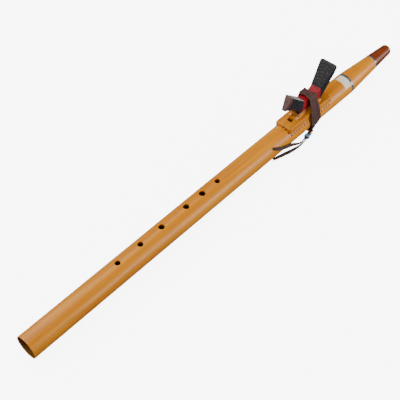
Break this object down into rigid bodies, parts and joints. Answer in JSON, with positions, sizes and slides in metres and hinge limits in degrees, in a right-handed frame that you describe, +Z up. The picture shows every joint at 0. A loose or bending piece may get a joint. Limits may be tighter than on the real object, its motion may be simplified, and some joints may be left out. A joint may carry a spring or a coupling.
{
  "type": "two-chamber wooden duct flute",
  "caption": "Straight wooden duct flute with a raised nest, strapped-on carved bird block, leather thongs with beads, stone inlay rings and a tapered mouthpiece.",
  "frame": {"origin": "on the bore's axis, where the foot's inner chamfer meets the bore, 3 mm inside the foot's end face", "axes": "+X along the bore from the foot to the mouth end, +Z up through the nest, the finger holes and the bird block"},
  "size_m": [0.65, 0.0419, 0.0843],
  "materials": {
    "cedar": "satin lacquer over straight-grained golden cedar",
    "padauk": "satin lacquer over reddish brown padauk",
    "pale_wood": "bare pale wood, lightly oiled",
    "painted_wood": "gloss black and red paint on carved wood",
    "stone_inlay": "crushed turquoise set in clear resin, polished",
    "label_paper": "matt paper, blank",
    "strap_leather": "soft dark brown leather",
    "red_bead": "gloss glass",
    "black_bead": "gloss glass",
    "turquoise_bead": "polished stone"
  },
  "bodies": {
    "flute_body": {"body_upper_half": "cedar", "body_lower_half": "cedar", "head_inlay_ring": "stone_inlay", "tip_inlay_ring": "stone_inlay", "mouthpiece_tip": "padauk", "key_label": "label_paper"},
    "bird_set": {"spacer_plate": "pale_wood", "bird_block": "painted_wood", "strap_turn_inner": "strap_leather", "strap_turn_outer": "strap_leather", "strap_knot": "strap_leather", "pony_bead_red": "red_bead", "pony_bead_black": "black_bead", "thong_long": "strap_leather", "thong_short": "strap_leather"},
    "bead": {"slide_bead": "turquoise_bead"}
  },
  "joints": [
    {"name": "bird_slide", "type": "slide", "parent": "flute_body", "child": "bird_set", "axis": [1, 0, 0], "range_m": [-0.0035, 0.006]},
    {"name": "bead_slide", "type": "slide", "parent": "bird_set", "child": "bead", "axis": [-0.9792, -0.2009, 0.0301], "range_m": [0, 0.006]}
  ]
}
